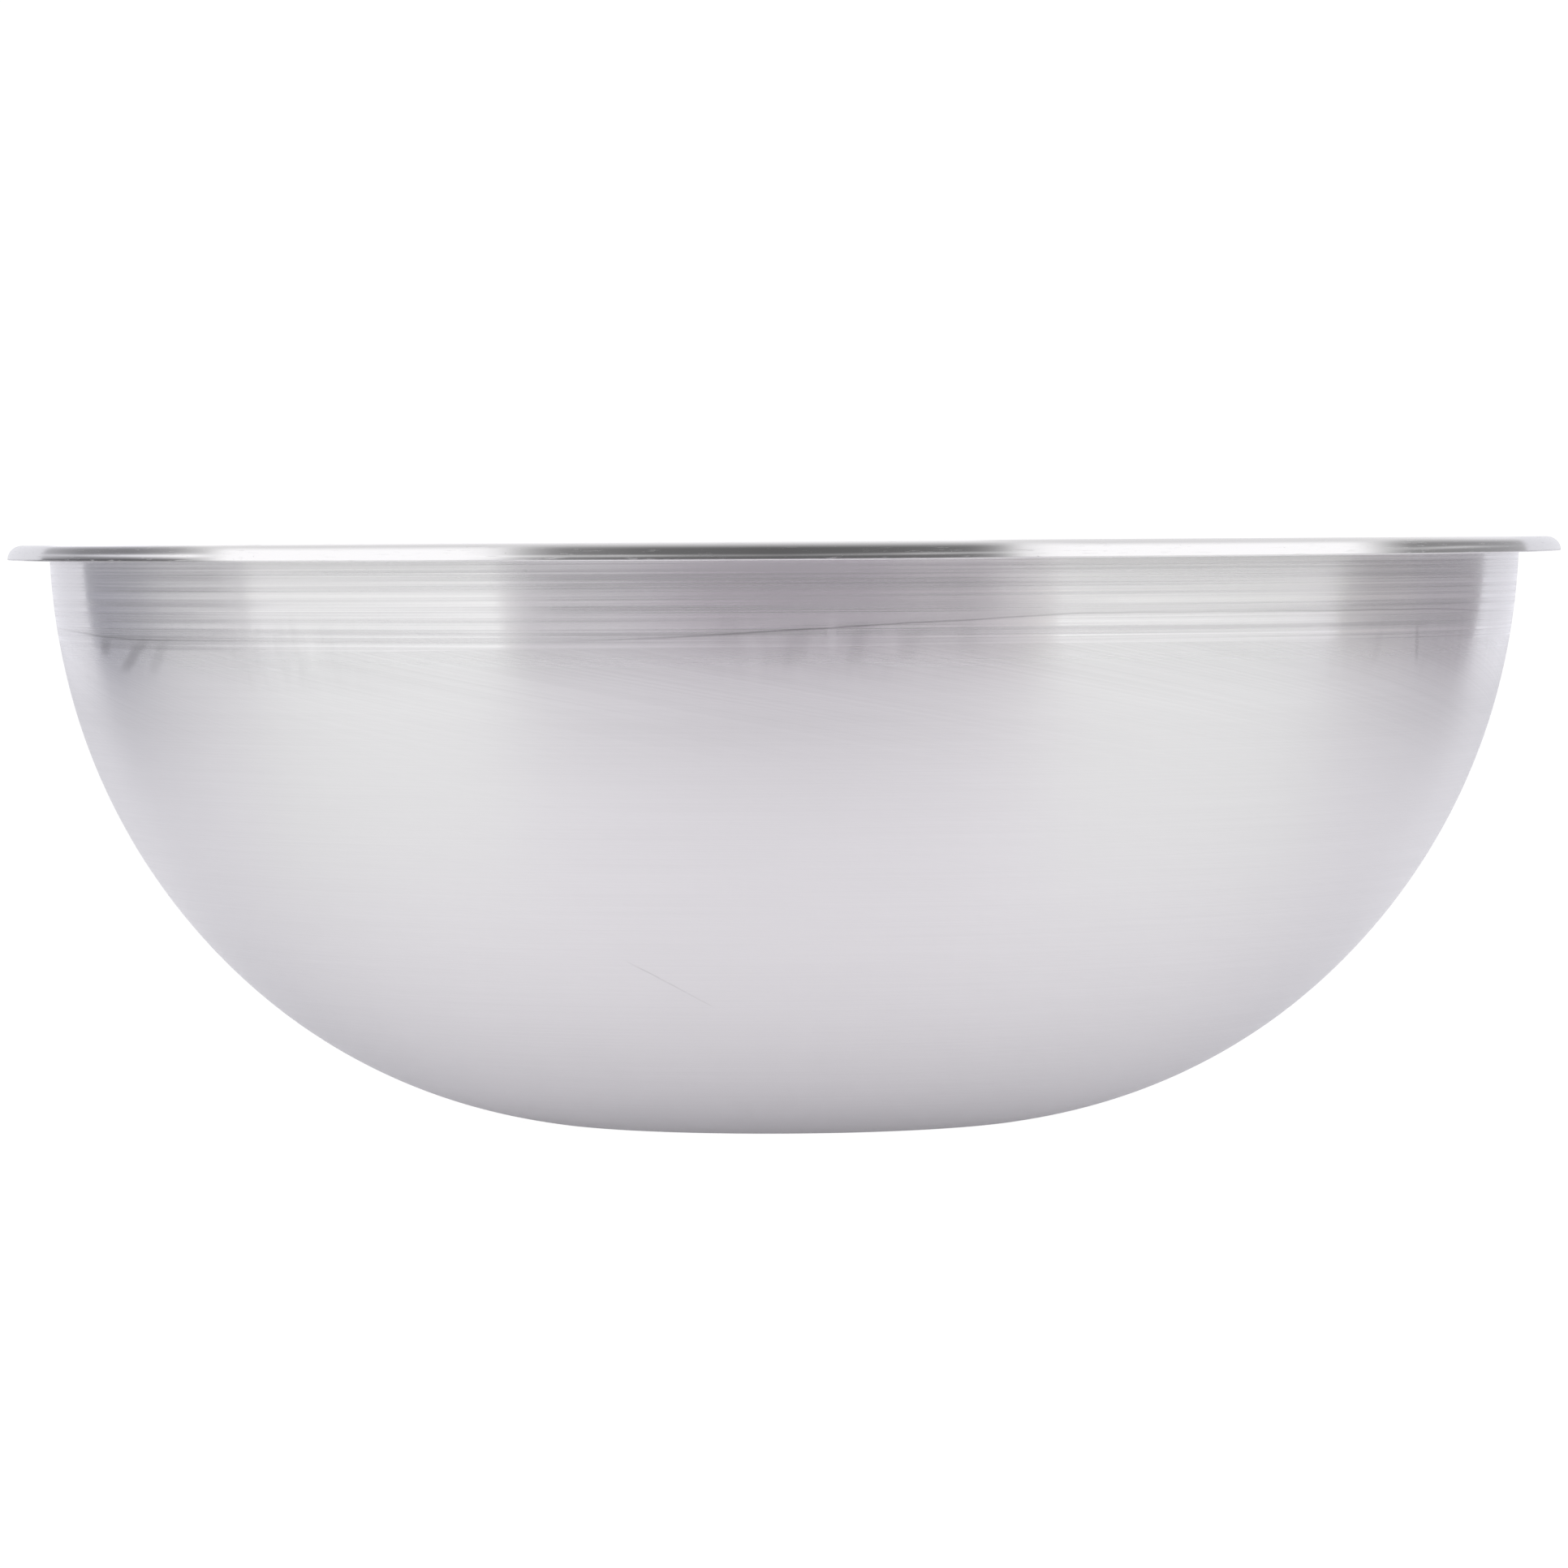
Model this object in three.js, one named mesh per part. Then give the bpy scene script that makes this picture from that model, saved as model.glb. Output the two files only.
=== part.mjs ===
// Stainless steel mixing bowl, pressed and spun from one disc of sheet.
// Units are millimetres. +Z is up. The origin is the centre of the underside,
// so the bowl stands on the plane z = 0, and its axis of revolution is Z.
//
// The real bowl is a single piece of metal: the flat base, the round body, the
// short straight neck and the turned-down rim are one continuous sheet. The
// section below is that sheet, drawn once and turned through a full circle.

import * as THREE from 'three';

// ---------------------------------------------------------------- dimensions
const SHEET = 1.0;             // thickness of the sheet

// Outer surface of the body, from the neck down to the base. Each arc is tangent
// to the one above it. Angles are the slope of the wall, measured from vertical.
const NECK_RADIUS = 193.7;     // outer radius of the neck, just under the rim
const NECK_DEPTH = 5.4;        // how far under the rim's top the straight neck ends
const NECK_DRAFT = 3.1;        // degrees, the neck's taper
const BODY_ARCS = [            // radius, and the slope at which the arc ends
  { radius: 174.0, end: 13.7, steps: 3 },
  { radius: 156.9, end: 48.7, steps: 7 },
  { radius: 144.8, end: 81.0, steps: 7 },
  { radius: 18.9, end: 90.0, steps: 2 },   // the soft corner round the flat base
];

// Rim: the sheet turns outwards into a level flange and then down into a lip.
const RIM_RADIUS = 204.8;      // outermost radius, half of the rim's diameter
const LIP_RADIUS = 3.9;        // outside radius of the turned-down lip
const NECK_FILLET = 2.0;       // radius under the flange, on the outside of the neck
const EDGE_ROUND = 0.3;        // the lip's cut edge is dressed to this radius

const SEGMENTS = 72;           // steps round the axis, a multiple of four

// ------------------------------------------------------------------- helpers
const rad = (degrees) => (degrees * Math.PI) / 180;

// Points of an arc about (cx, cy), from angle a to angle b in degrees.
function arc(cx, cy, radius, a, b, steps, skipFirst = false) {
  const points = [];
  for (let i = skipFirst ? 1 : 0; i <= steps; i += 1) {
    const t = rad(a + ((b - a) * i) / steps);
    points.push(new THREE.Vector2(cx + radius * Math.cos(t), cy + radius * Math.sin(t)));
  }
  return points;
}

// The body's surface at a distance `inset` inside its outer face, from the neck
// down, with heights measured from the top of the rim.
function body(inset) {
  let slope = rad(NECK_DRAFT);
  let r = NECK_RADIUS;
  let z = -NECK_DEPTH;
  const points = [new THREE.Vector2(r - inset * Math.cos(slope), z + inset * Math.sin(slope))];
  for (const { radius, end, steps } of BODY_ARCS) {
    const last = rad(end);
    for (let i = 1; i <= steps; i += 1) {
      const a = slope + ((last - slope) * i) / steps;
      const rr = r + radius * (Math.cos(a) - Math.cos(slope));
      const zz = z - radius * (Math.sin(a) - Math.sin(slope));
      points.push(new THREE.Vector2(rr - inset * Math.cos(a), zz + inset * Math.sin(a)));
    }
    r += radius * (Math.cos(last) - Math.cos(slope));
    z -= radius * (Math.sin(last) - Math.sin(slope));
    slope = last;
  }
  return points;
}

// ------------------------------------------------------------------- section
const outer = body(0);                       // neck to base, outside
const inner = body(SHEET);                   // neck to base, inside
const height = -outer[outer.length - 1].y;   // base to the top of the rim

// Radius of the neck's outer face, extended up to a height below the rim's top.
const neckAt = (z) => NECK_RADIUS + (z + NECK_DEPTH) * Math.tan(rad(NECK_DRAFT));

// Outside: the fillet between the neck and the underside of the flange.
const draft = NECK_DRAFT;
const filletZ = -SHEET - NECK_FILLET;
const filletR = neckAt(filletZ) + NECK_FILLET / Math.cos(rad(draft));
const underFillet = arc(filletR, filletZ, NECK_FILLET, 180 - draft, 90, 3);

// The lip: a quarter round of the sheet, ending in a level cut edge.
const lipR = RIM_RADIUS - LIP_RADIUS;
const lipZ = -LIP_RADIUS;
const lipInside = arc(lipR, lipZ, LIP_RADIUS - SHEET, 90, 0, 4);
const edge = [
  new THREE.Vector2(RIM_RADIUS - SHEET, lipZ - EDGE_ROUND),
  ...arc(RIM_RADIUS - EDGE_ROUND, lipZ, EDGE_ROUND, -90, -45, 1),
];
const lipOutside = arc(lipR, lipZ, LIP_RADIUS, 0, 90, 6);

// Inside: the bend from the flange's top down into the bowl, concentric with the
// fillet underneath it.
const mouth = arc(filletR, filletZ, NECK_FILLET + SHEET, 90, 180 - draft, 4);

const section = [
  new THREE.Vector2(0, -height),             // centre of the underside
  ...outer.slice().reverse(),                // base edge, up the outside, to the neck
  ...underFillet,
  ...lipInside,
  ...edge,
  ...lipOutside,
  ...mouth,
  ...inner,                                  // down the inside to the floor
  new THREE.Vector2(0, -height + SHEET),     // centre of the inside floor
].map((p) => new THREE.Vector2(Math.max(0, p.x), p.y + height));

// --------------------------------------------------------------------- piece
const geometry = new THREE.LatheGeometry(section, SEGMENTS);
geometry.rotateX(Math.PI / 2);               // the lathe turns about Y: stand it up on Z

const stainless = new THREE.MeshStandardMaterial({
  name: 'brushed_stainless',
  color: new THREE.Color(0.72, 0.71, 0.72),
  metalness: 1.0,
  roughness: 0.32,
});

const bowl = new THREE.Mesh(geometry, stainless);
bowl.name = 'bowl';

const group = new THREE.Group();
group.name = 'mixing_bowl';
group.add(bowl);

export default group;
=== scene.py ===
import math

import bpy
import numpy as np
from mathutils import Matrix, Vector


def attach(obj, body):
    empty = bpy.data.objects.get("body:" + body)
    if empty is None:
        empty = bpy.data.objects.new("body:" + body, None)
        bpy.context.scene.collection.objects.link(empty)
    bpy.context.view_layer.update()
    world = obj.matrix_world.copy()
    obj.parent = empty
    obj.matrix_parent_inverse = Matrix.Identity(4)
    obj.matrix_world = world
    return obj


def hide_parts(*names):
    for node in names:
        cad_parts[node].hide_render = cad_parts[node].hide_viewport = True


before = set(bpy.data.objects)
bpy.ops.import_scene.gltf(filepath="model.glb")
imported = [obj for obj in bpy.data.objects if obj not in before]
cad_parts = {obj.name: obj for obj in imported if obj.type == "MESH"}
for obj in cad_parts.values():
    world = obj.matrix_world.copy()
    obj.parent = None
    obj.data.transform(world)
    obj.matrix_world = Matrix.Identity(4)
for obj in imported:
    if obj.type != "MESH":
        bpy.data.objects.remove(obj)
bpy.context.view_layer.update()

# ------------------------------------------------------------------ the sheet
# Millimetres, as in the CAD. Heights are from the rim's top while the section is
# drawn, then from the base. The section is the CAD's own, with fine steps.
SHEET = 1.0
NECK_RADIUS, NECK_DEPTH, NECK_DRAFT = 193.7, 5.4, 3.1
BODY_ARCS = [(174.0, 13.7, 14), (156.9, 48.7, 36), (144.8, 81.0, 32), (18.9, 90.0, 10)]
RIM_RADIUS, LIP_RADIUS = 204.8, 3.9
NECK_FILLET, EDGE_ROUND = 2.0, 0.3
SEGMENTS = 336

rad = math.radians
OUT, IN, RIM, BASE, FLOOR = 0, 1, 2, 3, 4      # zones of the one sheet


def body(inset, side):
    """(r, z, normal r, normal z) down the wall. side is 1 outside and -1 inside."""
    s, r, z = rad(NECK_DRAFT), NECK_RADIUS, -NECK_DEPTH
    rows = [(r - inset * math.cos(s), z + inset * math.sin(s), side * math.cos(s), -side * math.sin(s))]
    for R, end, steps in BODY_ARCS:
        e = rad(end)
        for i in range(1, steps + 1):
            a = s + (e - s) * i / steps
            rr = r + R * (math.cos(a) - math.cos(s))
            zz = z - R * (math.sin(a) - math.sin(s))
            rows.append((rr - inset * math.cos(a), zz + inset * math.sin(a), side * math.cos(a), -side * math.sin(a)))
        r += R * (math.cos(e) - math.cos(s))
        z -= R * (math.sin(e) - math.sin(s))
        s = e
    return rows


def arc(cx, cy, R, a, b, steps, side=1, skip=0):
    rows = []
    for i in range(skip, steps + 1):
        t = rad(a + (b - a) * i / steps)
        rows.append((cx + R * math.cos(t), cy + R * math.sin(t), side * math.cos(t), side * math.sin(t)))
    return rows


outer, inner = body(0, 1), body(SHEET, -1)
height = -outer[-1][1]
draft = NECK_DRAFT
neck_at = lambda z: NECK_RADIUS + (z + NECK_DEPTH) * math.tan(rad(draft))
fil_z = -SHEET - NECK_FILLET
fil_r = neck_at(fil_z) + NECK_FILLET / math.cos(rad(draft))
lip_r, lip_z = RIM_RADIUS - LIP_RADIUS, -LIP_RADIUS

section = []                                   # (r, z, nr, nz, zone, lip weight)


def add(rows, zone, lip=0.0):
    for q in rows:
        section.append((*q, zone, lip))


base_r = outer[-1][0]
add([(base_r * k, -height, 0, -1) for k in (0.03, 0.1, 0.2, 0.3, 0.4, 0.5, 0.6, 0.7, 0.8, 0.9, 0.96)], BASE)
add(outer[::-1], OUT)
add([(neck_at(z), z, math.cos(rad(draft)), -math.sin(rad(draft))) for z in (-4.6, -3.9, -3.3)], OUT)
add(arc(fil_r, fil_z, NECK_FILLET, 180 - draft, 90, 8, side=-1), RIM)
for k in (0.33, 0.67):
    add([(fil_r + (lip_r - fil_r) * k, -SHEET, 0, -1)], RIM)
under = arc(lip_r, lip_z, LIP_RADIUS - SHEET, 90, 0, 10, side=-1)
for i, q in enumerate(under):
    add([q], RIM, lip=(i / 10) ** 2)
cut_from = len(section)
add(arc(RIM_RADIUS - SHEET + 0.15, lip_z - EDGE_ROUND + 0.15, 0.15, 180, 270, 3), RIM, lip=1.0)
add(arc(RIM_RADIUS - EDGE_ROUND, lip_z, EDGE_ROUND, -90, 0, 5), RIM, lip=1.0)
cut_to = len(section) - 1
top = arc(lip_r, lip_z, LIP_RADIUS, 0, 90, 22)
for i, q in enumerate(top[1:]):
    add([q], RIM, lip=(1 - (i + 1) / 22) ** 2)
for k in (0.3, 0.7):
    add([(lip_r + (fil_r - lip_r) * k, 0, 0, 1)], RIM)
add(arc(fil_r, fil_z, NECK_FILLET + SHEET, 90, 180 - draft, 12), RIM)
add([(neck_at(z) - SHEET / math.cos(rad(draft)), z, -math.cos(rad(draft)), math.sin(rad(draft))) for z in (-3.6, -4.4)], IN)
add(inner, IN)
add([(base_r * k, -height + SHEET, 0, 1) for k in (0.96, 0.9, 0.8, 0.7, 0.6, 0.5, 0.4, 0.3, 0.2, 0.1, 0.03)], FLOOR)

sec = np.array([q[:4] for q in section])
zone = np.array([q[4] for q in section])
lipw = np.array([q[5] for q in section])
n = len(sec)
# distance along the sheet from the middle of the underside, in metres
step = np.hypot(np.diff(sec[:, 0]), np.diff(sec[:, 1]))
along = (np.concatenate([[0], np.cumsum(step)]) + sec[0, 0]) / 1000

theta = np.arange(SEGMENTS) * 2 * math.pi / SEGMENTS
psi = (theta + math.pi / 2 + math.pi) % (2 * math.pi) - math.pi    # 0 at the front, + to the right


def lip_drop(p):
    """The trimmed edge isn't quite even: millimetres that the lip hangs lower, round the rim."""
    right = np.exp(-((p - math.pi / 2) / 0.42) ** 2)
    left = np.exp(-((p + math.pi / 2) / 0.42) ** 2)
    front = np.exp(-((p - 0.12) / 0.28) ** 2)
    box = np.exp(-((p - 0.60) / 0.26) ** 2)
    return 0.24 * np.cos(p) + 0.07 * np.cos(3 * p + 0.6) - 0.60 * right - 0.40 * left + 0.12 * front + 0.10 * box


# where the coarse band ends, in mm under the rim's top, by azimuth: the brush wandered a little
BAND_EDGE = [(-180, 25.7), (-120, 25.4), (-90, 25.2), (-78, 25.6), (-68, 26.4), (-44, 26.7), (-30, 26.4), (-19.5, 25.8), (0, 25.5), (18, 25.0),
             (32, 25.3), (45, 25.7), (68, 25.9), (90, 25.8), (130, 25.6), (180, 25.7)]
BAND = 25.7


def band_edge(p):
    return np.interp(math.degrees(p), *zip(*BAND_EDGE)) + 0.05 * math.sin(17 * p + 1.0)


# the ring of points nearest the band's edge is slid along the wall to follow it
wall = np.where((zone == OUT))[0]
edge_i = wall[np.argmin(np.abs(sec[wall, 1] + BAND))]
s_mm = along * 1000
slide = np.exp(-((s_mm - s_mm[edge_i]) / 7.0) ** 2) * (zone == OUT)
lo_w, hi_w = wall[0], wall[-1]

ring = np.zeros((n, SEGMENTS, 3))
norm = np.zeros((n, SEGMENTS, 3))
s_grid = np.zeros((n, SEGMENTS))
for j, t in enumerate(theta):
    c, s = math.cos(t), math.sin(t)
    # sliding down the wall by d mm lowers s by about d
    d = band_edge(psi[j]) - (-sec[edge_i, 1])
    sj = np.clip(s_mm - d * slide, 0, None)
    row = np.stack([np.interp(sj, s_mm, sec[:, q]) for q in range(4)], 1)
    row[zone != OUT] = sec[zone != OUT]
    sj[zone != OUT] = s_mm[zone != OUT]
    row[:, 2:] /= np.hypot(row[:, 2], row[:, 3])[:, None]
    r, z = row[:, 0], row[:, 1] + height - lipw * lip_drop(psi[j])
    ring[:, j] = np.stack([r * c, r * s, z], 1) / 1000
    norm[:, j] = np.stack([row[:, 2] * c, row[:, 2] * s, row[:, 3]], 1)
    s_grid[:, j] = sj / 1000
verts = np.concatenate([ring.reshape(-1, 3), [[0, 0, 0], [0, 0, SHEET / 1000]]])
normals = np.concatenate([norm.reshape(-1, 3), [[0, 0, -1], [0, 0, 1]]])
bottom, floor_mid = n * SEGMENTS, n * SEGMENTS + 1
faces, face_zone = [], []
NECK = 5                                       # the band's own material slot
slot_of = [int(max(zone[i], zone[i + 1])) if zone[i] != zone[i + 1] else int(zone[i]) for i in range(n - 1)]
slot_of = [NECK if (q == OUT and i >= edge_i) else q for i, q in enumerate(slot_of)]
for i in range(n - 1):
    a, b = i * SEGMENTS, (i + 1) * SEGMENTS
    for j in range(SEGMENTS):
        k = (j + 1) % SEGMENTS
        faces.append((a + j, a + k, b + k, b + j))
        face_zone.append(slot_of[i])
for j in range(SEGMENTS):
    k = (j + 1) % SEGMENTS
    faces.append((bottom, k, j)); face_zone.append(BASE)
    a = (n - 1) * SEGMENTS
    faces.append((floor_mid, a + j, a + k)); face_zone.append(FLOOR)

me = bpy.data.meshes.new("bowl_sheet")
me.from_pydata(verts.tolist(), [], faces)
me.update()
bowl = bpy.data.objects.new("bowl_sheet", me)
bpy.context.scene.collection.objects.link(bowl)
me.polygons.foreach_set("use_smooth", np.ones(len(faces), bool))
me.normals_split_custom_set_from_vertices([tuple(v) for v in normals])

# "along" holds the distance along the sheet, as a plain number at each point.
s_at = me.attributes.new("along", "FLOAT", "POINT")
s_at.data.foreach_set("value", np.concatenate([s_grid.reshape(-1), [0.0, along[-1] + 0.002]]).astype(np.float32))

# ------------------------------------------------------------------ materials
TOP = height / 1000


class Tree:
    """A short way to write shader nodes."""

    def __init__(self, name):
        self.m = bpy.data.materials.new(name)
        self.m.use_nodes = True
        self.nt = self.m.node_tree
        self.nt.nodes.clear()
        self.out = self.nt.nodes.new("ShaderNodeOutputMaterial")
        self.p = self.nt.nodes.new("ShaderNodeBsdfPrincipled")
        self.link(self.p.outputs[0], self.out.inputs[0])

    def link(self, a, b):
        self.nt.links.new(a, b)

    def put(self, socket, value):
        if isinstance(value, bpy.types.NodeSocket):
            self.link(value, socket)
        elif value is not None:
            socket.default_value = value

    def math(self, op, a, b=None, c=None, clamp=False):
        nd = self.nt.nodes.new("ShaderNodeMath")
        nd.operation, nd.use_clamp = op, clamp
        for i, v in enumerate((a, b, c)):
            if v is not None:
                self.put(nd.inputs[i], v)
        return nd.outputs[0]

    def add(self, a, b): return self.math("ADD", a, b)
    def sub(self, a, b): return self.math("SUBTRACT", a, b)
    def mul(self, a, b): return self.math("MULTIPLY", a, b)

    def smooth(self, x, lo, hi, a=0.0, b=1.0):
        nd = self.nt.nodes.new("ShaderNodeMapRange")
        nd.interpolation_type = "SMOOTHSTEP"
        for i, v in enumerate((x, lo, hi, a, b)):
            self.put(nd.inputs[i], v)
        return nd.outputs[0]

    def linear(self, x, lo, hi, a=0.0, b=1.0):
        nd = self.nt.nodes.new("ShaderNodeMapRange")
        for i, v in enumerate((x, lo, hi, a, b)):
            self.put(nd.inputs[i], v)
        return nd.outputs[0]

    def xyz(self, x, y, z):
        nd = self.nt.nodes.new("ShaderNodeCombineXYZ")
        for i, v in enumerate((x, y, z)):
            self.put(nd.inputs[i], v)
        return nd.outputs[0]

    def noise(self, vec, scale=1.0, detail=2.0, rough=0.5):
        nd = self.nt.nodes.new("ShaderNodeTexNoise")
        self.put(nd.inputs["Vector"], vec)
        nd.inputs["Scale"].default_value = scale
        nd.inputs["Detail"].default_value = detail
        nd.inputs["Roughness"].default_value = rough
        return nd.outputs[0]

    def curve(self, x, points):
        """A smooth curve through (x, y) points, all inside 0..1."""
        nd = self.nt.nodes.new("ShaderNodeFloatCurve")
        cv = nd.mapping.curves[0]
        pts = sorted(points)
        cv.points[0].location, cv.points[1].location = pts[0], pts[-1]
        for q in pts[1:-1]:
            cv.points.new(*q)
        nd.mapping.update()
        self.put(nd.inputs["Value"], x)
        return nd.outputs[0]

    def coords(self):
        tc = self.nt.nodes.new("ShaderNodeTexCoord")
        sp = self.nt.nodes.new("ShaderNodeSeparateXYZ")
        self.link(tc.outputs["Object"], sp.inputs[0])
        at = self.nt.nodes.new("ShaderNodeAttribute")
        at.attribute_name = "along"
        self.x, self.y, self.z = sp.outputs
        self.s = at.outputs["Fac"]
        self.psi = self.math("ARCTAN2", self.x, self.mul(self.y, -1.0))   # 0 front, + right
        self.depth = self.mul(self.sub(TOP, self.z), 1000.0)              # mm under the rim's top
        return self

    def lines(self, across, along_k, across_k, detail=2.0, rough=0.5, seed=0.0):
        """Noise drawn out round the bowl: fine across the sheet, long round it."""
        v = self.xyz(self.add(self.mul(self.x, along_k), seed), self.mul(self.y, along_k), self.mul(across, across_k))
        return self.noise(v, 1.0, detail, rough)

    def bump(self, h, dist, strength=1.0, normal=None):
        nd = self.nt.nodes.new("ShaderNodeBump")
        nd.inputs["Strength"].default_value = strength
        nd.inputs["Distance"].default_value = dist
        self.put(nd.inputs["Height"], h)
        if normal is not None:
            self.link(normal, nd.inputs["Normal"])
        return nd.outputs[0]

    def tangent(self):
        nd = self.nt.nodes.new("ShaderNodeTangent")
        nd.direction_type, nd.axis = "RADIAL", "Z"
        self.link(nd.outputs[0], self.p.inputs["Tangent"])

    def color_mix(self, f, a, b):
        nd = self.nt.nodes.new("ShaderNodeMix")
        nd.data_type = "RGBA"
        self.put(nd.inputs[0], f)
        self.put(nd.inputs[6], a)
        self.put(nd.inputs[7], b)
        return nd.outputs[2]


STEEL = (0.690, 0.685, 0.690, 1.0)
DULL = (0.600, 0.595, 0.600, 1.0)
DARK = (0.26, 0.255, 0.26, 1.0)
BRIGHT = (0.765, 0.76, 0.765, 1.0)             # the polished rim
LINE_LIGHT = (0.740, 0.733, 0.740, 1.0)        # the coarse band, between its lines and in them
LINE_DARK = (0.540, 0.533, 0.541, 1.0)


# the dark line left where two passes of the brush meet: azimuth in degrees, mm under the rim's top, strength
SEAM = [(-180, 20.4, 0.15), (-130, 21.0, 0.15), (-100, 21.0, 0.2), (-80, 21.6, 0.35), (-69, 22.55, 0.65), (-62, 23.55, 0.9), (-55, 23.8, 0.7), (-45, 23.8, 0.35), (-30, 24.0, 0.12),
        (-19.6, 24.0, 0.15), (-14, 23.7, 0.35), (-9.7, 23.15, 0.55), (-4, 22.2, 0.85), (1.4, 21.2, 1.0), (7, 20.2, 0.8), (12.5, 19.33, 0.75), (17, 18.6, 0.7), (22.7, 17.95, 0.5),
        (33, 17.95, 0.4), (44.4, 18.0, 0.7), (61.6, 18.25, 0.6), (66.7, 18.8, 0.5), (85, 19.4, 0.3), (130, 20.0, 0.15), (180, 20.4, 0.15)]
# wide streaks in the band, partly real streaks and partly painted highlight and shade: mm under the rim's top, half
# width, lighter (+) or darker (-), and the azimuths between which each is painted. The azimuth limits are tone
# corrections for the front view,
# not marks known to end there: inside them the streaks are painted highlight and shade, and the first, at the front
# near the top, is painted highlight only.
PASSES = [(6.0, 3.0, 0.9, -19, 16), (5.5, 2.4, -0.30, -46, -17), (5.6, 3.4, -0.35, 18, 46), (15.2, 1.4, 0.55, -43, -17), (17.4, 1.2, 0.75, -50, -17), (16.0, 0.5, -0.20, -66, -52), (20.2, 1.3, -0.40, -67, -46),
          (17.6, 0.5, -0.42, 14, 68), (14.8, 1.2, 0.65, 22, 44), (19.7, 1.4, 0.55, 12, 45), (20.4, 1.6, -0.60, 48, 66), (20.8, 1.6, -0.25, -8, 12), (21.5, 1.2, -0.25, -42, -22), (25.0, 0.35, 0.35, -50, -17)]
# smears below the band and across it: azimuth, mm under the rim's top, half width in degrees, half height in mm, lean
# in degrees per mm, lighter (+) or darker (-)
SMEARS = [(-64.6, 26.0, 1.1, 2.6, -0.2, -0.42), (-59.6, 28.2, 1.15, 4.4, -0.50, -0.42), (-55.4, 28.0, 0.9, 5.0, -0.30, -0.18),
          (-4.0, 22.0, 0.9, 5.5, 0.0, -0.09), (0.8, 25.5, 0.8, 5.0, -0.05, -0.16), (3.4, 23.0, 0.35, 6.0, 0.0, 0.14), (5.2, 25.0, 0.7, 6.0, -0.05, -0.16),
          (7.7, 24.0, 0.5, 5.0, 0.0, 0.09), (9.0, 25.0, 0.7, 4.5, -0.05, -0.11), (13.3, 23.5, 0.8, 5.0, 0.0, -0.07), (50.6, 27.0, 0.5, 5.0, 0.0, -0.10),
          (56.15, 26.2, 0.28, 5.5, 0.08, -0.26), (59.0, 28.0, 1.2, 5.0, 0.1, -0.06)]


def u_of(deg): return (deg + 180.0) / 360.0


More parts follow.
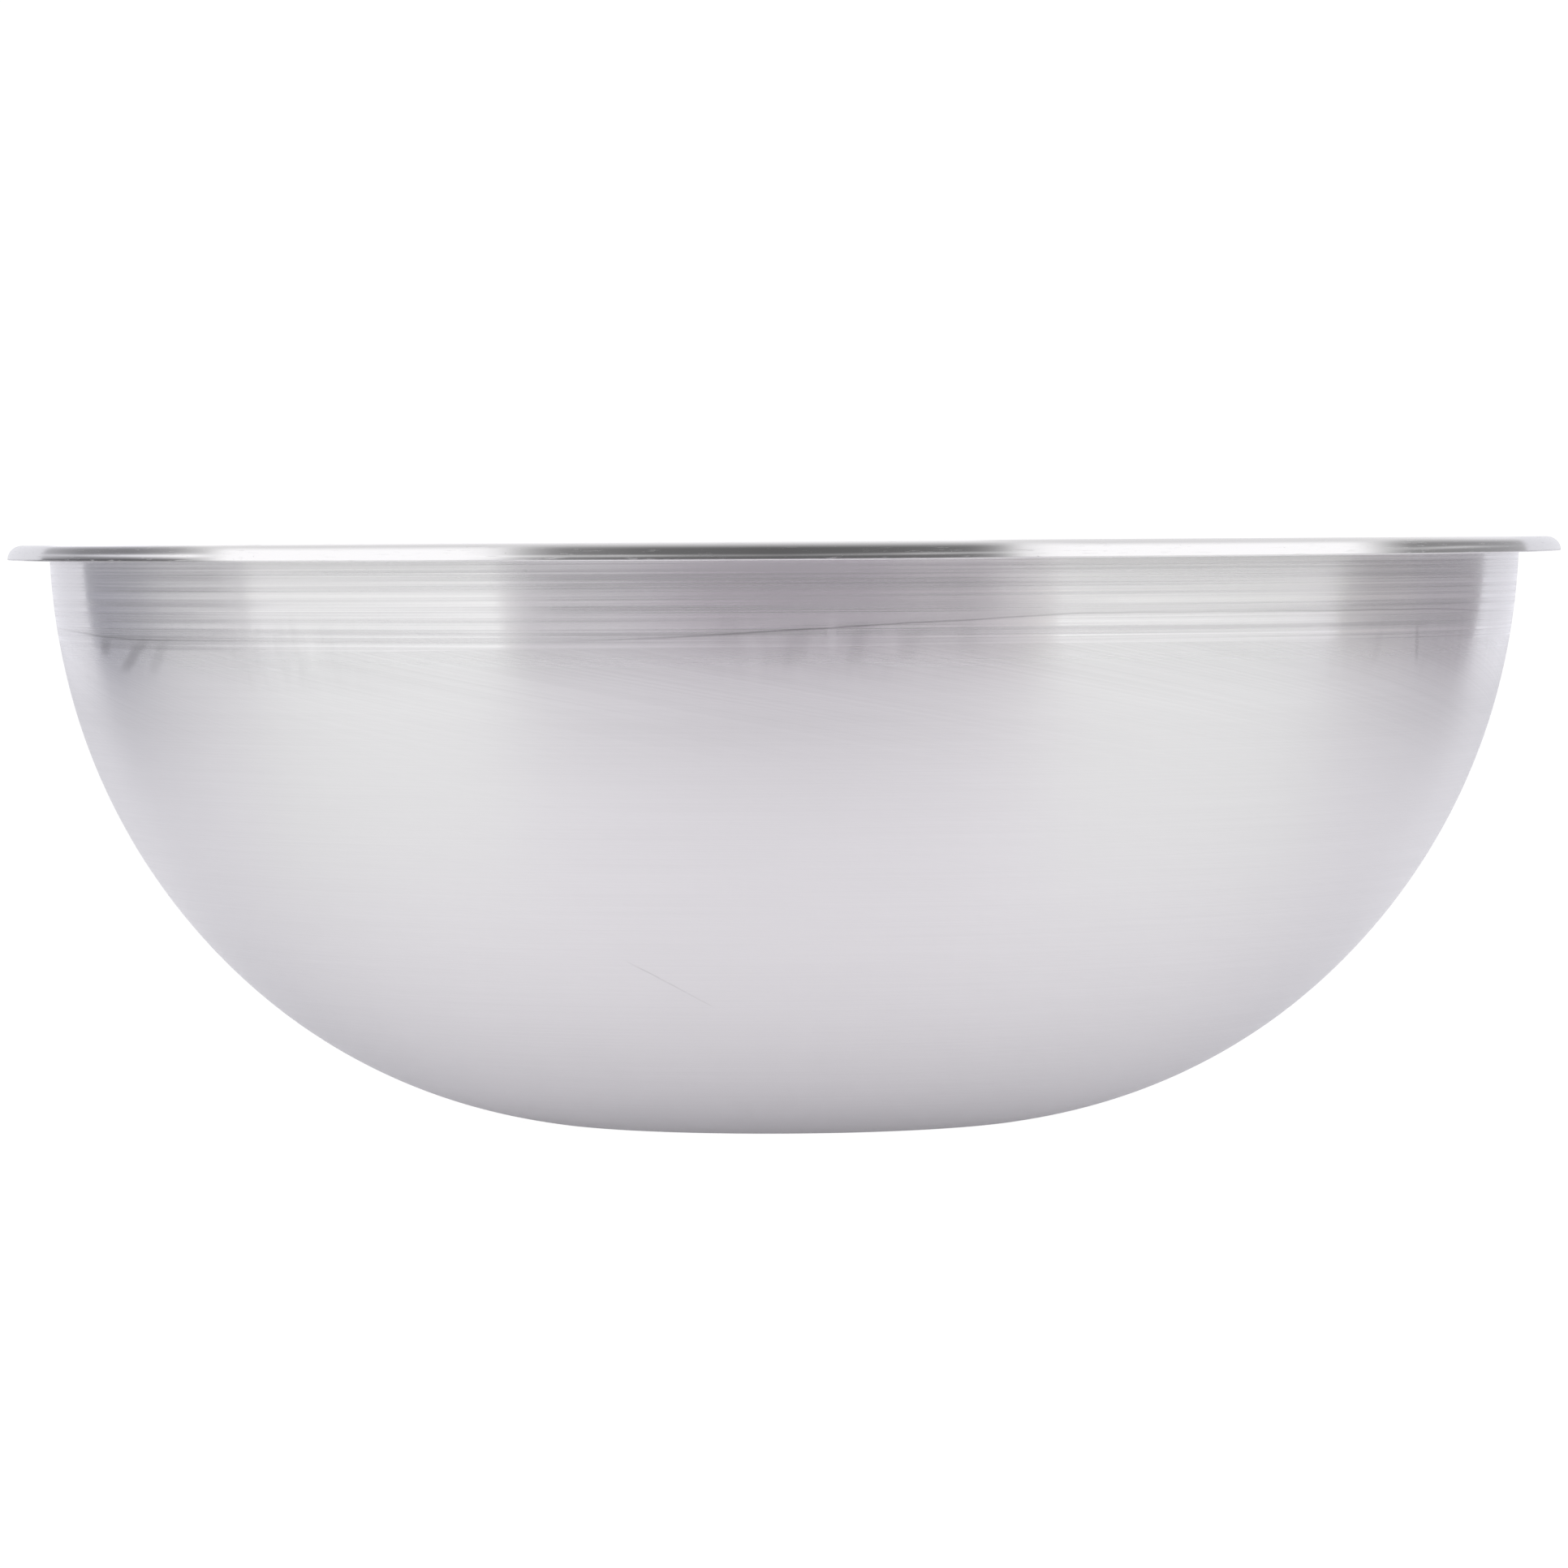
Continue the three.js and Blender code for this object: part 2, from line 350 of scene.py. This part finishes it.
def outside(name, band):
    t = Tree(name).coords()
    p = t.p
    p.inputs["Metallic"].default_value = 1.0
    p.inputs["Anisotropic"].default_value = 1.0 if band else 0.75
    p.inputs["Anisotropic Rotation"].default_value = ANISO_ROT
    t.tangent()
    u = t.linear(t.psi, -math.pi, math.pi)
    ends = t.sub(1.0, t.smooth(t.math("ABSOLUTE", t.sub(u, 0.5)), 0.36, 0.5, 0.0, 0.0))
    # marks that both finishes carry: the seam line, the faint draw marks under it and one scratch
    seam_at = t.mul(t.curve(u, [(u_of(a), d / 30.0) for a, d, _ in SEAM]), 30.0)
    seam_k = t.curve(u, [(u_of(a), k) for a, _, k in SEAM])
    wavy = t.noise(t.xyz(t.mul(t.x, 60.0), t.mul(t.y, 60.0), 3.0), 1.0, 2.0)
    off = t.sub(t.depth, t.add(seam_at, t.mul(t.sub(wavy, 0.5), 0.5)))
    seam = t.mul(t.smooth(t.math("ABSOLUTE", off), 0.05, 0.34, 1.0, 0.0), seam_k)
    halo = t.mul(t.smooth(t.math("ABSOLUTE", t.sub(off, -0.3)), 0.2, 1.3, 1.0, 0.0), t.mul(seam_k, seam_k))
    deg = t.mul(t.psi, 180 / math.pi)
    smear = 0.0
    for az, d, wa, wd, lean, k in SMEARS:
        dd = t.sub(t.depth, d)
        a = t.math("ABSOLUTE", t.sub(t.sub(deg, az), t.mul(dd, lean)))
        q = t.mul(t.smooth(a, wa * 0.2, wa * 1.5, k, 0.0), t.smooth(t.math("ABSOLUTE", dd), wd * 0.35, wd * 1.2, 1.0, 0.0))
        smear = t.add(smear, q)
    draw = t.noise(t.xyz(t.mul(t.x, 260.0), t.mul(t.y, 260.0), t.mul(t.depth, 0.05)), 1.0, 2.0, 0.5)
    where = t.noise(t.xyz(t.mul(t.x, 14.0), t.mul(t.y, 14.0), 8.0), 1.0, 1.0)
    fade = t.mul(t.smooth(t.depth, 15.0, 22.0), t.smooth(t.depth, 40.0, 27.0))
    draw = t.mul(t.mul(t.sub(draw, 0.5), t.smooth(where, 0.36, 0.6)), fade)
    scr_off = t.sub(t.depth, t.add(103.1, t.mul(t.add(t.mul(t.psi, 180 / math.pi), 14.8), 1.58)))
    scr_noise = t.noise(t.xyz(t.mul(t.x, 220.0), t.mul(t.y, 220.0), 1.0), 1.0, 2.0)
    scr = t.mul(t.smooth(t.math("ABSOLUTE", t.add(scr_off, t.mul(t.sub(scr_noise, 0.5), 0.7))), 0.05, 0.34, 1.0, 0.0),
                t.mul(t.smooth(t.psi, rad(-15.2), rad(-13.5)), t.smooth(t.psi, rad(-7.0), rad(-8.4))))
    scr = t.mul(scr, t.smooth(scr_noise, 0.3, 0.6, 0.3, 1.0))
    # lines round the bowl
    if band:
        coarse = t.lines(t.s, 5.0, 1700.0, 1.0, 0.5)
        thin = t.lines(t.s, 10.0, 3400.0, 0.0, 0.5, 5.0)
        mid = t.lines(t.s, 3.0, 800.0, 0.0, 0.5, 9.0)
        broad = t.lines(t.s, 2.0, 300.0, 1.0, 0.5, 7.0)
        # the streaks, with painted highlight and shade where their azimuth limits end them
        streaks_and_painted_light = 0.0
        for d, half, k, a0, a1 in PASSES:
            q = t.mul(t.smooth(t.math("ABSOLUTE", t.sub(t.depth, d)), half * 0.3, half * 1.2, k, 0.0),
                      t.mul(t.smooth(deg, a0 - 2.0, a0 + 4.0), t.smooth(deg, a1 + 2.0, a1 - 4.0)))
            streaks_and_painted_light = t.add(streaks_and_painted_light, q)
        mixed = t.add(t.add(t.mul(coarse, 0.43), t.mul(mid, 0.25)), t.add(t.mul(thin, 0.24), t.mul(broad, 0.08)))
        # line contrast and bump by azimuth: set to suit the front view, not known from the metal. The lines' colour
        # contrast is painted highlight and shade, raised and lowered by azimuth to stand in for how the front view's
        # lights show the lines up.
        turn = t.math("ABSOLUTE", deg)
        flat = t.smooth(turn, 60.0, 73.0, 1.0, 0.25)
        painted_line_contrast = t.mul(t.mul(t.mul(t.smooth(turn, 43.0, 48.0, 0.85, 1.3), t.smooth(deg, 43.0, 48.0, 1.0, 1.25)), t.smooth(turn, 16.0, 22.0, 1.8, 1.0)), flat)
        h = t.mul(t.add(t.mul(coarse, 0.0012), t.mul(broad, 0.006)), t.mul(flat, t.smooth(turn, 16.0, 22.0, 0.4, 1.0)))
        rough = t.sub(t.smooth(mixed, 0.38, 0.62, 0.17, 0.28), t.mul(streaks_and_painted_light, 0.04))
        tint = t.add(t.mul(t.mul(t.sub(mixed, 0.5), 2.9), painted_line_contrast), t.sub(0.42, t.mul(streaks_and_painted_light, 0.36)))
        light, dark = LINE_LIGHT, LINE_DARK
    else:
        fine = t.lines(t.s, 12.0, 3600.0, 2.0, 0.5, 3.0)
        slant = t.lines(t.add(t.s, t.mul(t.psi, 0.036)), 7.0, 2300.0, 2.0, 0.5, 11.0)
        upper = t.smooth(t.depth, 60.0, 27.0, 0.15, 1.0)
        h = t.add(t.mul(fine, 0.0012), t.mul(t.mul(slant, upper), 0.0020))
        rough = t.add(0.42, t.mul(t.sub(fine, 0.5), 0.08))
        rough = t.sub(rough, t.smooth(t.depth, 46.0, 25.0, 0.0, 0.16))
        # painted shade: a slightly darker zone under the band, at the front, a tone correction for the front view
        under = t.mul(t.smooth(t.depth, 42.0, 30.0, 0.0, 0.48), t.smooth(t.math("ABSOLUTE", deg), 44.0, 56.0, 1.0, 0.0))
        tint = t.add(t.add(t.mul(t.sub(fine, 0.5), 0.4), t.mul(t.sub(slant, 0.5), t.mul(upper, 1.3))), t.add(under, 0.25))
        light, dark = STEEL, DULL
    mark = t.add(t.mul(seam, 0.50), t.add(t.mul(halo, 0.15), t.sub(t.mul(scr, 0.24), t.add(t.mul(draw, 0.30), smear))))
    h = t.sub(h, t.mul(seam, 0.008))
    t.link(t.bump(h, 0.001), p.inputs["Normal"])
    t.link(t.math("ADD", rough, t.mul(mark, 0.05), clamp=True), p.inputs["Roughness"])
    col = t.color_mix(tint, light, dark)
    col = t.color_mix(t.math("MULTIPLY", mark, 1.0, clamp=True), col, DARK)
    t.link(t.color_mix(t.math("MULTIPLY", mark, -1.0, clamp=True), col, (1, 1, 1, 1)), p.inputs["Base Color"])
    return t.m


def rim():
    t = Tree("polished_steel_rim").coords()
    p = t.p
    p.inputs["Metallic"].default_value = 1.0
    p.inputs["Anisotropic"].default_value = 0.4
    p.inputs["Anisotropic Rotation"].default_value = ANISO_ROT
    t.tangent()
    deg = t.mul(t.psi, 180 / math.pi)
    fine = t.lines(t.s, 6.0, 5000.0, 2.0, 0.5)
    thin = t.lines(t.s, 14.0, 2600.0, 2.0, 0.6, 4.0)
    # short dull scuffs along the rim, and a few specks
    scuff = t.noise(t.xyz(t.mul(t.x, 150.0), t.mul(t.y, 150.0), t.mul(t.s, 3200.0)), 1.0, 3.0, 0.6)
    scuff = t.smooth(scuff, 0.58, 0.70)
    spots = t.noise(t.xyz(t.mul(t.x, 820.0), t.mul(t.y, 820.0), t.mul(t.s, 1300.0)), 1.0, 2.0)
    spots = t.smooth(spots, 0.72, 0.77)
    # the sheared edge under the lip is not polished, and it is darker at the left
    mid, half = (along[cut_from] + along[cut_to]) / 2, (along[cut_to] - along[cut_from]) / 2
    sheared = t.smooth(t.math("ABSOLUTE", t.sub(t.s, mid)), half * 0.95, half * 1.3, 1.0, 0.0)
    left_darkening = t.mul(sheared, t.mul(t.smooth(deg, -39.0, -47.0), t.smooth(deg, -75.0, -68.0)))
    t.link(t.bump(t.add(t.mul(fine, 0.0006), t.mul(thin, 0.0030)), 0.001), p.inputs["Normal"])
    r = t.add(t.add(0.09, t.mul(thin, 0.06)), t.add(t.mul(scuff, 0.24), t.mul(t.add(spots, sheared), 0.22)))
    t.link(r, p.inputs["Roughness"])
    col = t.color_mix(t.add(t.mul(scuff, 0.12), t.mul(t.math("MAXIMUM", spots, t.mul(sheared, 0.9)), 0.8)), BRIGHT, DULL)
    t.link(t.color_mix(t.mul(left_darkening, 0.75), col, DARK), p.inputs["Base Color"])
    return t.m


def inside(name, rough):
    t = Tree(name).coords()
    p = t.p
    p.inputs["Metallic"].default_value = 1.0
    p.inputs["Anisotropic"].default_value = 0.7
    p.inputs["Anisotropic Rotation"].default_value = ANISO_ROT
    t.tangent()
    fine = t.lines(t.s, 8.0, 3600.0, 2.0, 0.5, 5.0)
    broad = t.lines(t.s, 1.0, 260.0, 2.0, 0.5, 9.0)
    t.link(t.bump(t.add(t.mul(fine, 0.0016), t.mul(broad, 0.012)), 0.001), p.inputs["Normal"])
    t.link(t.add(rough, t.mul(t.sub(fine, 0.5), 0.12)), p.inputs["Roughness"])
    wide = t.lines(t.s, 4.0, 1100.0, 1.0, 0.5, 13.0)
    worn = t.add(t.mul(t.sub(fine, 0.5), 0.8), t.mul(t.sub(wide, 0.5), 0.9))
    t.link(t.color_mix(t.math("ADD", worn, 0.25, clamp=True), STEEL, DULL), p.inputs["Base Color"])
    return t.m


ANISO_ROT = 0.25
mats = [outside("satin_steel_outside", False), inside("satin_steel_inside", 0.34), rim(), inside("satin_steel_base", 0.36), inside("satin_steel_floor", 0.34), outside("brushed_steel_band", True)]
for m in mats:
    me.materials.append(m)
me.polygons.foreach_set("material_index", np.array(face_zone, np.int32))
me.update()

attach(bowl, "root")
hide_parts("bowl")

# ---------------------------------------------------------------------- stage
FLOOR_GLOW = 0.262


def plain(name, color, rough=0.8):
    m = bpy.data.materials.new(name)
    m.use_nodes = True
    b = m.node_tree.nodes["Principled BSDF"]
    b.inputs["Base Color"].default_value = (*color, 1)
    b.inputs["Roughness"].default_value = rough
    b.inputs["Specular IOR Level"].default_value = 0.2
    return m


def emit(name, color, strength):
    m = bpy.data.materials.new(name)
    m.use_nodes = True
    nt = m.node_tree
    nt.nodes.clear()
    e = nt.nodes.new("ShaderNodeEmission")
    o = nt.nodes.new("ShaderNodeOutputMaterial")
    e.inputs[0].default_value = (*color, 1)
    e.inputs[1].default_value = strength
    nt.links.new(e.outputs[0], o.inputs[0])
    return m


def quad(name, pts, material):
    m = bpy.data.meshes.new(name)
    m.from_pydata([tuple(q) for q in pts], [], [tuple(range(len(pts)))])
    m.materials.append(material)
    o = bpy.data.objects.new(name, m)
    bpy.context.scene.collection.objects.link(o)
    return o


S = 40.0
pale = plain("floor_white", (0.90, 0.893, 0.91))
pt = pale.node_tree
pb = pt.nodes["Principled BSDF"]
pb.inputs["Emission Color"].default_value = (1.0, 0.982, 1.02, 1)
pb.inputs["Emission Strength"].default_value = FLOOR_GLOW
glow = pt.nodes.new("ShaderNodeEmission")
glow.inputs[1].default_value = 1.04
flp = pt.nodes.new("ShaderNodeLightPath")
share = pt.nodes.new("ShaderNodeMath")
share.operation = "MULTIPLY"
share.inputs[1].default_value = 0.94
fmix = pt.nodes.new("ShaderNodeMixShader")
pt.links.new(flp.outputs["Is Camera Ray"], share.inputs[0])
pt.links.new(share.outputs[0], fmix.inputs[0])
pt.links.new(pb.outputs[0], fmix.inputs[1])
pt.links.new(glow.outputs[0], fmix.inputs[2])
pt.links.new(fmix.outputs[0], pt.nodes["Material Output"].inputs[0])
ftc = pt.nodes.new("ShaderNodeTexCoord")
flen = pt.nodes.new("ShaderNodeVectorMath")
flen.operation = "LENGTH"


def fnode(kind, *values, op=None):
    nd = pt.nodes.new("ShaderNode" + kind)
    if op:
        nd.operation = op
    if kind == "MapRange":
        nd.interpolation_type = "SMOOTHSTEP"
    for k, v in enumerate(values):
        if isinstance(v, bpy.types.NodeSocket):
            pt.links.new(v, nd.inputs[k])
        else:
            nd.inputs[k].default_value = v
    return nd.outputs[0]


def tint_mix(f, a, b):
    nd = pt.nodes.new("ShaderNodeMix")
    nd.data_type = "RGBA"
    pt.links.new(f, nd.inputs[0])
    nd.inputs[6].default_value, nd.inputs[7].default_value = (*a, 1), (*b, 1)
    return nd.outputs[2]


pt.links.new(ftc.outputs["Object"], flen.inputs[0])
fxyz = pt.nodes.new("ShaderNodeSeparateXYZ")
pt.links.new(ftc.outputs["Object"], fxyz.inputs[0])
fpsi = fnode("Math", fnode("Math", fxyz.outputs[0], fnode("Math", fxyz.outputs[1], -1.0, op="MULTIPLY"), op="ARCTAN2"), 180 / math.pi, op="MULTIPLY")
turned = fnode("Math", fpsi, op="ABSOLUTE")
# painted light: away from the base, at the azimuths mirrored beside the soft boxes, the floor's colour and glow are
# tinted
boxes = fnode("Math", fnode("MapRange", turned, 26.0, 38.0, 0.0, 1.0), fnode("MapRange", turned, 84.0, 68.0, 0.0, 1.0), op="MULTIPLY")
boxes = fnode("Math", boxes, fnode("MapRange", flen.outputs["Value"], 0.185, 0.25, 0.0, 1.0), op="MULTIPLY")
pt.links.new(tint_mix(boxes, (0.90, 0.893, 0.91), (0.893, 0.905, 0.888)), pb.inputs["Base Color"])
pt.links.new(tint_mix(boxes, (1.0, 0.982, 1.02), (0.997, 1.0, 1.0)), pb.inputs["Emission Color"])
# painted contact shadow: the floor's glow is lowered close to the base and raised a little just beyond it
contact_shadow_glow = fnode("Math", fnode("MapRange", flen.outputs["Value"], 0.06, 0.115, FLOOR_GLOW * 0.82, FLOOR_GLOW * 1.13),     # little light gets in close to the base
             fnode("MapRange", flen.outputs["Value"], 0.15, 0.26, 1.0, 1 / 1.13), op="MULTIPLY")
# painted shade: the floor glows less towards the back left and the back right
back_shade_glow = fnode("Math", fnode("MapRange", fpsi, -40.0, -112.0, 1.0, 0.68), fnode("MapRange", fpsi, 50.0, 115.0, 1.0, 0.78), op="MULTIPLY")
pt.links.new(fnode("Math", contact_shadow_glow, back_shade_glow, op="MULTIPLY"), pb.inputs["Emission Strength"])
# The floor's glow by azimuth and distance is painted light and shade, set for what the wall mirrors from the front; the
# camera sees it white.
floor = quad("floor", [(-S, -S, -0.0002), (S, -S, -0.0002), (S, S, -0.0002), (-S, S, -0.0002)], pale)


def seen_at(wall_az, dist):
    """The azimuth of the point that the camera sees mirrored in the wall at wall_az, on a circle of radius dist."""
    w = rad(wall_az)
    n2 = Vector((math.sin(w), -math.cos(w)))
    p2 = n2 * 0.190
    v = (p2 - Vector((0.0, -DIST))).normalized()
    r = v - 2 * v.dot(n2) * n2
    k = -p2.dot(r) + math.sqrt(p2.dot(r) ** 2 - p2.dot(p2) + dist * dist)
    q = p2 + k * r
    return math.degrees(math.atan2(q.x, -q.y))


def shell_at(wall_az, tilt, dist=0.95):
    """The point of a round shell, dist from the rim's middle, that the camera sees mirrored in the rim at
    azimuth wall_az where the sheet's face looks up by tilt degrees."""
    w, e = rad(wall_az), rad(tilt)
    out = Vector((math.sin(w), -math.cos(w), 0.0))
    n3 = out * math.cos(e) + Vector((0, 0, math.sin(e)))
    p3 = out * 0.2009
    v = (p3 - Vector((0.0, -DIST, 0.0))).normalized()
    r = v - 2 * v.dot(n3) * n3
    k = -p3.dot(r) + math.sqrt(p3.dot(r) ** 2 - p3.dot(p3) + dist * dist)
    return p3 + k * r + Vector((0, 0, TOP))


def card(name, rows, tones):
    """A studio card from rows of points, each with its own tone. Only the bowl's reflections see it."""
    mat = emit(name, (1, 1, 1), 1.0)
    at = mat.node_tree.nodes.new("ShaderNodeAttribute")
    at.attribute_name = "glow"
    mat.node_tree.links.new(at.outputs["Color"], mat.node_tree.nodes["Emission"].inputs[0])
    nr, nc = len(rows), len(rows[0])
    fs = [(i * nc + j, i * nc + j + 1, (i + 1) * nc + j + 1, (i + 1) * nc + j) for i in range(nr - 1) for j in range(nc - 1)]
    m = bpy.data.meshes.new(name)
    m.from_pydata([tuple(q) for row in rows for q in row], [], fs)
    m.materials.append(mat)
    col = m.attributes.new("glow", "FLOAT_COLOR", "POINT")
    for q, tone in zip(col.data, tones):
        q.color = (*tone, 1.0)
    o = bpy.data.objects.new(name, m)
    bpy.context.scene.collection.objects.link(o)
    o.visible_camera = False
    o.visible_diffuse = False
    o.visible_shadow = False
    o.visible_transmission = False
    return o


def low_card(name, dist, z0, z1, stops, steps=6):
    """Upright, from height z0 to z1. The stops are (wall azimuth, tone): where in the wall it is seen (0 is the
    camera's side, + right), and how bright it is there."""
    az, tones = [], []
    for (a, ca), (b, cb) in zip(stops, stops[1:]):
        for i in range(steps):
            az.append(a + (b - a) * i / steps)
            tones.append([p + (q - p) * i / steps for p, q in zip(ca, cb)])
    az.append(stops[-1][0])
    tones.append(list(stops[-1][1]))
    rows = [[], []]
    for a in az:
        q = rad(seen_at(a, dist))
        rows[0].append((dist * math.sin(q), -dist * math.cos(q), z0))
        rows[1].append((dist * math.sin(q), -dist * math.cos(q), z1))
    return card(name, rows, tones * 2)


# The studio above the rim is one shell. Its tone by azimuth, as the rim mirrors it: a dark front, where the camera
# stands, between two soft boxes, and a grey gap past each box.
TONE = [(-67.6, 0.50), (-63, 0.38), (-60, 0.29), (-53, 0.265), (-48, 0.42), (-44.5, 0.72), (-42, 1.28), (-22, 1.28), (-19.8, 1.12), (-18.0, 0.64), (-15.3, 0.30),
        (-9, 0.185), (0, 0.146), (7.3, 0.17), (12.8, 0.22), (14.6, 0.42), (16.3, 1.04), (18.2, 1.24), (20.5, 1.28), (43, 1.28), (44.4, 1.08), (47, 0.62), (49.6, 0.31),
        (56, 0.33), (63, 0.40), (67.4, 0.50)]
# a low strip light, mirrored near the foot of the rim
STRIP = [(-67.6, 0.20), (-60, 0.36), (-53, 0.70), (-46, 0.75), (-43, 0.0), (-22, 0.0), (-17, 0.38), (-11, 0.48), (-6, 0.25), (0, 0.16), (7, 0.25), (9.5, 0.44), (14, 0.27), (17, 0.0),
         (46, 0.0), (50, 0.25), (56, 0.40), (60, 0.18), (67.4, 0.0)]
STRIP_TILT = [(-67.6, 20.0), (-46, 18.0), (-18, 12.0), (0, 11.5), (13, 15.5), (50, 16.0), (56, 19.5), (67.4, 20.0)]
STRIP_WIDTH = [(-67.6, 6.0), (-60, 4.5), (-53, 5.5), (-46, 7.0), (-20, 3.4), (13, 3.2), (50, 5.0), (67.4, 3.6)]
# the face tilts between which the tone gives way to the bright ceiling
CEILING_FROM = [(-67.6, 42.0), (-47, 42.0), (-43, 34.0), (67.4, 34.0)]
CEILING_TO = [(-67.6, 76.0), (-47, 76.0), (-42, 58.0), (-36, 54.0), (-22, 54.0), (-17, 66.0), (-12, 64.0), (12, 64.0), (17, 66.0), (21, 55.0), (44, 55.0), (49, 68.0),
              (54, 66.0), (60, 62.0), (67.4, 62.0)]


def shell_glow(w, e):
    at = lambda table: float(np.interp(w, *zip(*table)))
    k = min(max((e - at(CEILING_FROM)) / (at(CEILING_TO) - at(CEILING_FROM)), 0.0), 1.0)
    k = k * k * (3 - 2 * k)
    ceiling = 0.90 + min(max((e - 58.0) / 20.0, 0.0), 1.0) * (0.34 if w < 14 else 0.05)
    tone = at(TONE) + at(STRIP) * math.exp(-((e - at(STRIP_TILT)) / at(STRIP_WIDTH)) ** 2)
    if w < -46:
        tone *= 1 - 0.55 * min(max((9.0 - e) / 6.0, 0.0), 1.0)
    return tone + (ceiling - tone) * k


def shell(name, wall0, wall1, tilt1, foot, steps, tilts):
    az = [wall0 + (wall1 - wall0) * i / steps for i in range(steps + 1)]
    tl = [tilt1 * i / tilts for i in range(tilts + 1)]
    rows = [[(q.x, q.y, foot) for q in (shell_at(w, 0.0) for w in az)]]
    rows += [[shell_at(w, e) for w in az] for e in tl]
    tones = [shell_glow(w, e) for e in [0.0] + tl for w in az]
    cool = [min(max((-46.0 - w) / 8.0, 0.0), 1.0) * 0.05 + min(max((w - 52.0) / 8.0, 0.0), 1.0) * 0.02 for e in [0.0] + tl for w in az]
    return card(name, rows, [(g, g * 0.994, g * (1.004 + c)) for g, c in zip(tones, cool)])


DIST = 2.0422                                  # camera to the bowl's axis, in metres
LOW = 0.13                                     # the low cards end here, a little under the rim
for tag, d, stops in (
        ("front", 0.45, [(-21.2, (0.98, 0.975, 0.97)), (-19.2, (0.73, 0.705, 0.74)), (-13.5, (0.725, 0.70, 0.735)), (-9.5, (0.65, 0.61, 0.66)),
                         (-5.5, (0.54, 0.49, 0.545)), (0.0, (0.49, 0.44, 0.495)), (6.0, (0.52, 0.47, 0.525)), (10.0, (0.62, 0.575, 0.615)),
                         (15.0, (0.645, 0.60, 0.635)), (17.4, (0.70, 0.66, 0.68)), (19.0, (0.83, 0.80, 0.80)), (20.4, (0.97, 0.955, 0.94))]),
        ("box_left", 0.95, [(-43.7, (1.04, 1.05, 1.02)), (-21.2, (1.04, 1.05, 1.02))]),
        ("box_right", 0.95, [(20.4, (0.735, 0.735, 0.69)), (46.1, (0.735, 0.735, 0.69))]),
        ("gap_left", 0.55, [(-67.6, (0.485, 0.483, 0.545)), (-63.0, (0.515, 0.512, 0.57)), (-58.0, (0.59, 0.587, 0.63)), (-53.5, (0.77, 0.765, 0.79)),
                            (-48.0, (0.88, 0.875, 0.89)), (-43.7, (0.89, 0.885, 0.90))]),
        ("gap_right", 0.55, [(46.1, (0.73, 0.71, 0.70)), (47.5, (0.68, 0.655, 0.66)), (50.5, (0.63, 0.60, 0.615)), (54.0, (0.60, 0.57, 0.595)), (57.5, (0.54, 0.51, 0.55)),
                             (67.4, (0.515, 0.487, 0.53))])):
    low_card("card_" + tag, d, -0.001, LOW, stops)
shell("shell", -67.6, 67.4, 84.0, LOW, 180, 56)

# the world: white to the camera, a pale room to everything else
w = bpy.data.worlds.new("studio")
bpy.context.scene.world = w
w.use_nodes = True
nt = w.node_tree
nt.nodes.clear()
wo = nt.nodes.new("ShaderNodeOutputWorld")
mixs = nt.nodes.new("ShaderNodeMixShader")
lp = nt.nodes.new("ShaderNodeLightPath")
room, white = nt.nodes.new("ShaderNodeBackground"), nt.nodes.new("ShaderNodeBackground")
room.inputs[0].default_value = (0.845, 0.845, 0.89, 1)
room.inputs[1].default_value = 1.0
white.inputs[0].default_value = (1, 1, 1, 1)
white.inputs[1].default_value = 1.05
nt.links.new(lp.outputs["Is Camera Ray"], mixs.inputs[0])
nt.links.new(room.outputs[0], mixs.inputs[1])
nt.links.new(white.outputs[0], mixs.inputs[2])
dmix = nt.nodes.new("ShaderNodeMixShader")
fill = nt.nodes.new("ShaderNodeBackground")
fill.name = "fill"
fill.inputs[0].default_value = (0.745, 0.75, 0.79, 1)
fill.inputs[1].default_value = 1.0
nt.links.new(lp.outputs["Is Diffuse Ray"], dmix.inputs[0])
nt.links.new(mixs.outputs[0], dmix.inputs[1])
nt.links.new(fill.outputs[0], dmix.inputs[2])
nt.links.new(dmix.outputs[0], wo.inputs[0])


def area(name, loc, target, size, power, glossy=False, color=(1, 1, 1)):
    l = bpy.data.lights.new(name, "AREA")
    l.shape, l.size, l.energy, l.color = "SQUARE", size, power, color
    o = bpy.data.objects.new(name, l)
    bpy.context.scene.collection.objects.link(o)
    o.location = loc
    o.rotation_mode = "QUATERNION"
    o.rotation_quaternion = (Vector(target) - Vector(loc)).to_track_quat("-Z", "Y")
    o.visible_camera = False
    o.visible_glossy = glossy
    return o


area("front_fill", (0, -1.1, 1.35), (0, -0.2, 0), 1.4, 13.6, color=(1.0, 0.965, 0.935))

# --------------------------------------------------------------------- camera
cam_data = bpy.data.cameras.new("camera")
cam = bpy.data.objects.new("camera", cam_data)
bpy.context.scene.collection.objects.link(cam)
bpy.context.scene.camera = cam
F_PX, FRAME = 9490.0, 1932.0
cam_data.sensor_width = 36.0
cam_data.lens = 36.0 * F_PX / FRAME
cam.location = (0.0, -DIST, TOP)
pitch, roll, yaw = math.atan((FRAME / 2 - 666.5) / F_PX), rad(0.36), 2.0 / F_PX
cam.rotation_mode = "QUATERNION"
cam.rotation_quaternion = (Matrix.Rotation(yaw, 3, "Z") @ Matrix.Rotation(rad(90) - pitch, 3, "X") @ Matrix.Rotation(-roll, 3, "Z")).to_quaternion()
cam_data.clip_start, cam_data.clip_end = 0.05, 200.0

bpy.context.scene.view_settings.view_transform = "Standard"
